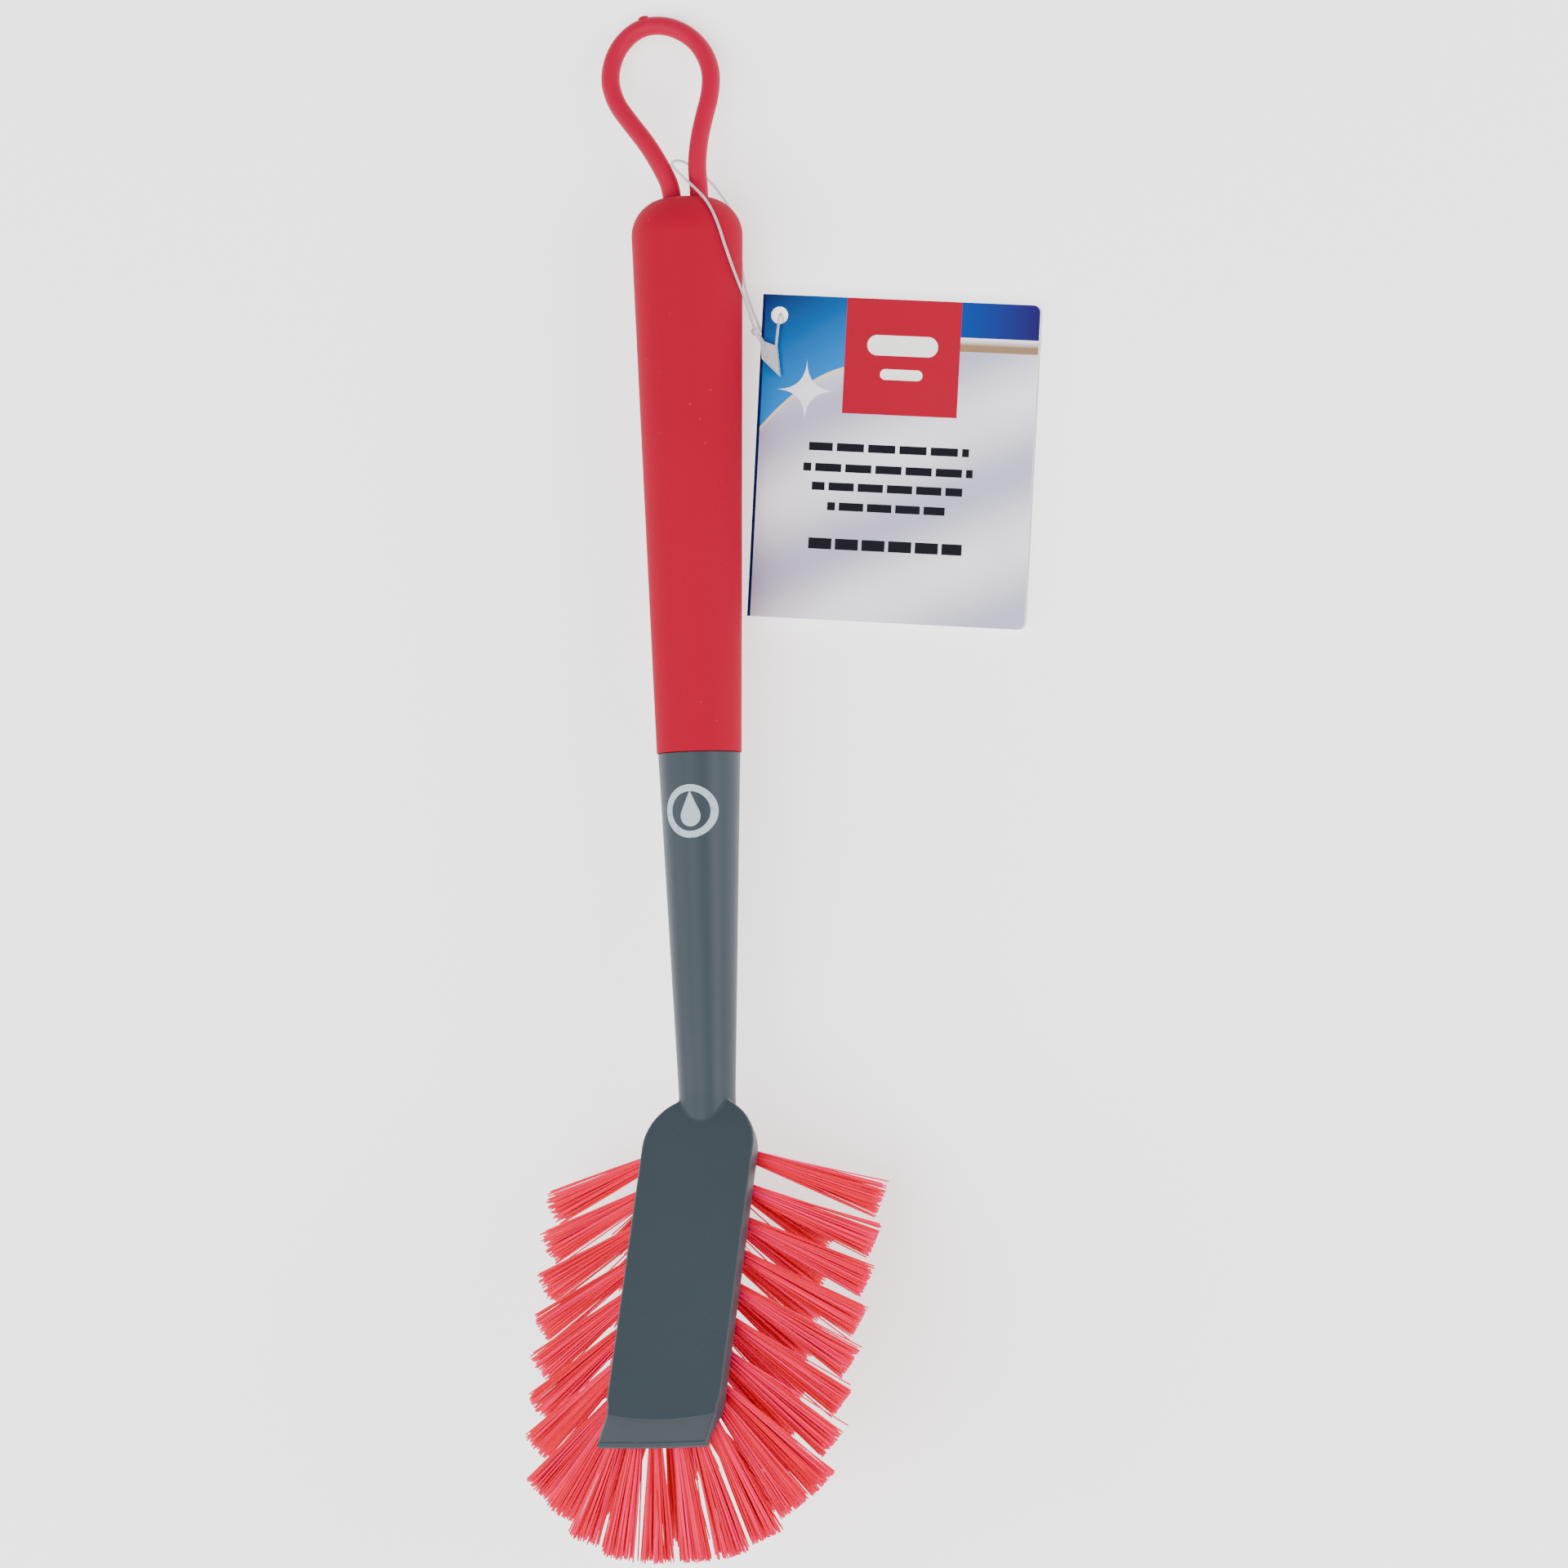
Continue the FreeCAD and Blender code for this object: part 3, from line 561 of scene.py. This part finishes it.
weldDistance = 1e-6
loopValues = {
    "diameter": 0.0039,
    "length": 0.100,
    "route": [
        (-0.00285, 0.1370, 0.01131), (-0.00285, 0.1422, 0.01101), (-0.0050, 0.1470, 0.0107),
        (-0.0081, 0.1522, 0.0100), (-0.0122, 0.1572, 0.0085), (-0.0158, 0.1618, 0.0068),
        (-0.0175, 0.1674, 0.0049), (-0.0159, 0.1736, 0.0029), (-0.0110, 0.1777, 0.0022),
        (-0.0046, 0.1776, 0.0022), (0.0013, 0.1740, 0.0028), (0.0047, 0.1682, 0.0047),
        (0.0049, 0.1625, 0.0066), (0.0037, 0.1573, 0.0084), (0.0028, 0.1522, 0.0099),
        (0.0024, 0.1470, 0.0107), (0.00285, 0.1419, 0.01103), (0.00285, 0.1370, 0.01131),
    ],
    "exit": (-0.00285, 0.1412, 0.0110),
    "bendStart": (0.0, 0.1445, 0.0099),
    "bendEnd": (0.0, 0.1605, 0.0099),
}
tieValues = {
    "diameter": 0.00056,
    "length": 0.110,
    "route": [
        (0.0122, 0.1133, 0.0059), (0.0119, 0.1185, 0.0106), (0.0112, 0.1245, 0.0165),
        (0.0101, 0.1295, 0.0186), (0.0089, 0.1347, 0.0196), (0.0067, 0.1391, 0.0185),
        (0.0036, 0.1420, 0.0157), (0.0008, 0.1442, 0.0131), (-0.0018, 0.1466, 0.0122),
        (-0.0031, 0.1482, 0.0110), (-0.0022, 0.1489, 0.0090), (-0.0003, 0.1482, 0.0075),
        (0.0024, 0.1459, 0.0060), (0.0052, 0.1423, 0.0043), (0.0078, 0.1376, 0.0030),
        (0.0085, 0.1322, 0.0024), (0.0092, 0.1264, 0.0028), (0.0099, 0.1208, 0.0031),
        (0.0116, 0.1155, 0.0024), (0.0129, 0.1118, 0.0018), (0.0149, 0.1108, 0.0012),
        (0.0169, 0.1127, 0.0011), (0.0173, 0.1156, 0.0014), (0.0176, 0.1164, 0.0050),
        (0.0173, 0.1134, 0.0060), (0.0165, 0.1089, 0.0054),
    ],
    "exit": (0.0122, 0.1133, 0.0059),
}
nibValues = {
    "steps": 24,
    "place": (-0.0098, 0.1771, 0.0022),
    "way": (-0.2, 0.97, -0.05),
    "profile": [(-0.0006, 0.00125), (0.0020, 0.00125), (0.0025, 0.0011),
                (0.0027, 0.0007), (0.00275, 0.0002)],
}


def makeCurve(name, route, diameter, steps):
    data = bpy.data.curves.new(name, "CURVE")
    data.dimensions = "3D"
    data.resolution_u = steps
    spline = data.splines.new("NURBS")
    spline.points.add(len(route) - 1)
    for point, at in zip(spline.points, route):
        point.co = (*at, 1.0)
    spline.order_u = 3
    spline.use_endpoint_u = True
    data.bevel_depth = diameter / 2
    data.bevel_resolution = 4
    data.use_fill_caps = True
    curve = bpy.data.objects.new(name, data)
    scene.collection.objects.link(curve)
    return curve


def meshOf(item):  # a plain copy of what an object's curve or modifiers come to
    bpy.context.view_layer.update()
    return bpy.data.meshes.new_from_object(item.evaluated_get(bpy.context.evaluated_depsgraph_get()))


def shown(name, mesh, material):
    item = bpy.data.objects.new(name, mesh)
    scene.collection.objects.link(item)
    mesh.materials.clear()
    mesh.materials.append(material)
    for face in mesh.polygons:
        face.use_smooth = True
    return item


def makeLoop():
    curve = makeCurve("loopLine", loopValues["route"], loopValues["diameter"], 8)
    curve.data.bevel_resolution = 6
    tube = meshOf(curve)
    curve.data.bevel_depth = 0.0
    curve.data.use_fill_caps = False
    path = [tuple(vertex.co) for vertex in meshOf(curve).vertices]
    bpy.data.objects.remove(curve)
    bm = bmesh.new()
    bm.from_mesh(tube)
    bmesh.ops.remove_doubles(bm, verts=bm.verts, dist=weldDistance)
    bmesh.ops.recalc_face_normals(bm, faces=bm.faces)
    bm.to_mesh(tube)
    bm.free()
    loop = shown("hangingLoop", tube, loopRubber)
    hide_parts("loop_legs", "hanging_loop")
    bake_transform(loop, "brush", "loop", start=loopValues["bendStart"], end=loopValues["bendEnd"])
    makeNib()


def makeNib():  # the small button that the moulding leaves on the outside of the eye
    bm = bmesh.new()
    rings = []
    steps = nibValues["steps"]
    turns = [2 * math.pi * step / steps for step in range(steps)]
    for out, radius in nibValues["profile"]:
        circle = [(radius * math.cos(turn), radius * math.sin(turn), out) for turn in turns]
        rings.append([bm.verts.new(at) for at in circle])
    for low, high in zip(rings, rings[1:]):
        for step in range(steps):
            following = (step + 1) % steps
            bm.faces.new((low[step], low[following], high[following], high[step]))
    bm.faces.new(reversed(rings[0]))
    bm.faces.new(rings[-1])
    upright = Vector((0, 0, 1)).rotation_difference(Vector(nibValues["way"])).to_matrix().to_4x4()
    bm.transform(Matrix.Translation(nibValues["place"]) @ upright)
    mesh = bpy.data.meshes.new("loopNib")
    bm.to_mesh(mesh)
    bm.free()
    nib = shown("loopNib", mesh, loopRubber)
    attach(nib, "loop")
    return nib


def makeTie():
    tie = makeCurve("tagTie", tieValues["route"], tieValues["diameter"], 8)
    tie.data.materials.append(clearPlastic)
    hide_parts("tag_tie")
    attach(tie, "brush")


makeLoop()
makeTie()
print("cords made")


bristleValues = {
    "filaments": 96,
    "radius": 0.00016,
    "raggedness": 0.0015,
    "strayShare": 0.08,
    "strayReach": 1.0,  # in tip radii
    "wander": 0.2,
    "fan": 1.45,  # how much wider than thick a tuft's tip is
    "thickness": 0.94,
    "thicknessWander": 0.3,
    "turnWander": 0.4,
    "goldenAngle": 2.399963,
    "bow": 0.00035,
    "sides": 4,
    "lengths": 4,
    "fill": 0.92,
    "seed": 7,
    "seedStep": 20,
}
endShares = (0.5, 0.8, 0.97, 0.99)  # ever thinner slices at the two ends of a cone


def tuftFrames(node):  # root, tip and their radii for each cone of a node
    bm = bmesh.new()
    bm.from_mesh(nodes[node].data)
    bmesh.ops.remove_doubles(bm, verts=bm.verts, dist=weldDistance)
    waiting = set(bm.verts)
    frames = []
    for first in bm.verts:
        if first not in waiting:
            continue
        waiting.discard(first)
        island, edge = [], [first]
        while edge:
            vertex = edge.pop()
            island.append(vertex.co.copy())
            for link in vertex.link_edges:
                other = link.other_vert(vertex)
                if other in waiting:
                    waiting.discard(other)
                    edge.append(other)
        frames.append(endsOf(island))
    bm.free()
    return frames


def endsOf(points):
    middle = sum(points, Vector()) / len(points)
    way = max(points, key=lambda point: (point - middle).length) - middle
    for sharper in endShares:
        reach = [(point - middle).dot(way) for point in points]
        low, high = min(reach) * sharper, max(reach) * sharper
        rings = [[point for point, far in zip(points, reach) if far < low],
                 [point for point, far in zip(points, reach) if far > high]]
        centres = [sum(ring, Vector()) / len(ring) for ring in rings]
        way = (centres[1] - centres[0]).normalized()
    ends = []
    for ring in rings:
        centre = sum(ring, Vector()) / len(ring)
        ends.append((centre, sum((point - centre).length for point in ring) / len(ring)))
    return sorted(ends, key=lambda end: end[1])


def makeBristleTree():
    tree = bpy.data.node_groups.new("bristleTufts", "GeometryNodeTree")
    g = Graph(tree)
    tree.interface.new_socket("Geometry", in_out="INPUT", socket_type="NodeSocketGeometry")
    for name, kind in (("Filaments", "Int"), ("Radius", "Float"), ("Raggedness", "Float"), ("Seed", "Int"),
                       ("Material", "Material")):
        tree.interface.new_socket(name, in_out="INPUT", socket_type="NodeSocket" + kind)
    tree.interface.new_socket("Geometry", in_out="OUTPUT", socket_type="NodeSocketGeometry")
    entry = tree.nodes.new("NodeGroupInput")
    values = {socket.name: Wire(g, socket) for socket in entry.outputs}

    def attribute(name, kind="FLOAT_VECTOR"):
        return g.add("GeometryNodeInputNamedAttribute", {"data_type": kind}, {"Name": name})

    def store(geometry, name, value, kind="FLOAT_VECTOR"):
        settings = {"data_type": kind, "domain": "POINT"}
        sockets = {"Geometry": geometry, "Name": name, "Value": value}
        return g.add("GeometryNodeStoreNamedAttribute", settings, sockets)

    def chance(step, low=-1.0, high=1.0):
        sockets = {2: low, 3: high, "Seed": values["Seed"] + step}
        return g.add("FunctionNodeRandomValue", {"data_type": "FLOAT"}, sockets, out=1)

    def offset(along, across, sideAmount, otherAmount):
        return g.vector("ADD", g.scaled(along, sideAmount), g.scaled(across, otherAmount))

    copies = tree.nodes.new("GeometryNodeDuplicateElements")
    copies.domain = "POINT"
    g.plug(copies.inputs["Geometry"], values["Geometry"])
    g.plug(copies.inputs["Amount"], values["Filaments"])
    points, number = Wire(g, copies.outputs[0]), Wire(g, copies.outputs[1])
    root, tip = attribute("rootAt"), attribute("tipAt")
    sideWay, otherWay = attribute("sideWay"), attribute("otherWay")
    rootSpread, tipSpread = attribute("rootSpread", "FLOAT"), attribute("tipSpread", "FLOAT")
    # each filament keeps its own place in the tuft, from the root to the tip
    share = ((number + 0.5) / values["Filaments"]) ** 0.5
    angle = number * bristleValues["goldenAngle"] + chance(1) * bristleValues["turnWander"]
    side = share * g.math("COSINE", angle, 0.0)
    other = share * g.math("SINE", angle, 0.0)
    start = g.vector("ADD", root, offset(sideWay, otherWay, side * rootSpread, other * rootSpread))
    stray = (chance(2, 0.0, 1.0) < bristleValues["strayShare"]) * chance(3) * bristleValues["strayReach"]
    tipSide = (side * bristleValues["fan"] + chance(4) * bristleValues["wander"] + stray) * tipSpread
    otherWander = chance(5) * bristleValues["wander"] * bristleValues["thicknessWander"]
    tipOther = (other * bristleValues["thickness"] + otherWander) * tipSpread
    end = g.vector("ADD", tip, offset(sideWay, otherWay, tipSide, tipOther))
    way = g.vector("NORMALIZE", g.vector("SUBTRACT", tip, root), (0.0, 0.0, 0.0))
    short = chance(6, 0.0, 1.0) ** 2.0 * values["Raggedness"]
    end = g.vector("SUBTRACT", end, g.scaled(way, short))
    middle = g.scaled(g.vector("ADD", start, end), 0.5)
    bowSide, bowOther = chance(7) * bristleValues["bow"], chance(8) * bristleValues["bow"]
    middle = g.vector("ADD", middle, offset(sideWay, otherWay, bowSide, bowOther))
    points = store(points, "filamentRoot", start)
    points = store(points, "filamentMiddle", middle)
    points = store(points, "filamentTip", end)
    points = store(points, "tone", chance(9, 0.0, 1.0), "FLOAT")
    # one straight filament, bent on to its own line after it is copied
    sockets = {"Vertices": bristleValues["sides"], "Side Segments": bristleValues["lengths"],
               "Radius": 1.0, "Depth": 1.0}
    filament = g.add("GeometryNodeMeshCylinder", None, sockets)
    x, y, z = g.split(g.add("GeometryNodeInputPosition"))
    filament = store(filament, "along", z + 0.5, "FLOAT")
    filament = store(filament, "ringSide", x, "FLOAT")
    filament = store(filament, "ringOther", y, "FLOAT")
    copiesOf = g.add("GeometryNodeInstanceOnPoints", None, {"Points": points, "Instance": filament})
    whole = g.add("GeometryNodeRealizeInstances", None, {"Geometry": copiesOf})
    along = attribute("along", "FLOAT")
    left = 1.0 - along
    line = g.scaled(attribute("filamentRoot"), left * left)
    line = g.vector("ADD", line, g.scaled(attribute("filamentMiddle"), left * along * 2.0))
    line = g.vector("ADD", line, g.scaled(attribute("filamentTip"), along * along))
    ring = offset(sideWay, otherWay, attribute("ringSide", "FLOAT") * values["Radius"],
                  attribute("ringOther", "FLOAT") * values["Radius"])
    bent = g.vector("ADD", line, ring)
    whole = g.add("GeometryNodeSetPosition", None, {"Geometry": whole, "Position": bent})
    whole = g.add("GeometryNodeSetShadeSmooth", None, {"Geometry": whole})
    whole = g.add("GeometryNodeSetMaterial", None, {"Geometry": whole, "Material": values["Material"]})
    leave = tree.nodes.new("NodeGroupOutput")
    g.plug(leave.inputs[0], whole)
    return tree


def makeTufts(tree, node, number):
    seeds = bpy.data.meshes.new("tuftSeeds")
    frames = tuftFrames(node)
    seeds.from_pydata([root for (root, small), (tip, large) in frames], [], [])
    columns = {name: [] for name in ("rootAt", "tipAt", "sideWay", "otherWay")}
    spreads = {name: [] for name in ("rootSpread", "tipSpread")}
    for (root, small), (tip, large) in frames:
        way = (tip - root).normalized()
        side = way.cross(Vector((0, 0, 1))).normalized()
        columns["rootAt"].extend(root)
        columns["tipAt"].extend(tip)
        columns["sideWay"].extend(side)
        columns["otherWay"].extend(side.cross(way))
        spreads["rootSpread"].append(small * bristleValues["fill"])
        spreads["tipSpread"].append(large * bristleValues["fill"])
    for name, column in columns.items():
        seeds.attributes.new(name, "FLOAT_VECTOR", "POINT").data.foreach_set("vector", column)
    for name, column in spreads.items():
        seeds.attributes.new(name, "FLOAT", "POINT").data.foreach_set("value", column)
    holder = bpy.data.objects.new("tuftHolder", seeds)
    scene.collection.objects.link(holder)
    grow = holder.modifiers.new("bristles", "NODES")
    grow.node_group = tree
    sockets = {item.name: item.identifier for item in tree.interface.items_tree if item.in_out == "INPUT"}
    grow[sockets["Filaments"]] = bristleValues["filaments"]
    grow[sockets["Radius"]] = bristleValues["radius"]
    grow[sockets["Raggedness"]] = bristleValues["raggedness"]
    grow[sockets["Seed"]] = bristleValues["seed"] + bristleValues["seedStep"] * number
    grow[sockets["Material"]] = bristleNylon
    mesh = meshOf(holder)
    bpy.data.objects.remove(holder)
    for name in list(mesh.attributes.keys()):
        if name in columns or name in spreads or name.startswith("filament") or name.startswith("ring"):
            mesh.attributes.remove(mesh.attributes[name])
    tufts = shown("bristles_" + node.split("_")[1], mesh, bristleNylon)
    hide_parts(node)
    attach(tufts, "brush")
    return len(mesh.polygons)


bristleTree = makeBristleTree()
faces = 0
for number, node in enumerate(sorted(nodes)):
    if node.startswith("tufts"):
        faces += makeTufts(bristleTree, node, number)
print("bristles made, faces", faces)


def paintNode(node, material):
    mesh = nodes[node].data
    mesh.materials.clear()
    mesh.materials.append(material)


for node in nodes:
    if node.startswith("staples"):
        paintNode(node, stapleWire)
paintNode("brush_body", greyPlastic)
paintNode("grip_sleeve", softGrip)
paintNode("loop_anchor", loopRubber)
paintNode("swing_tag", printedCard)
paintNode("tag_lock", clearPlastic)
print("finishes given")
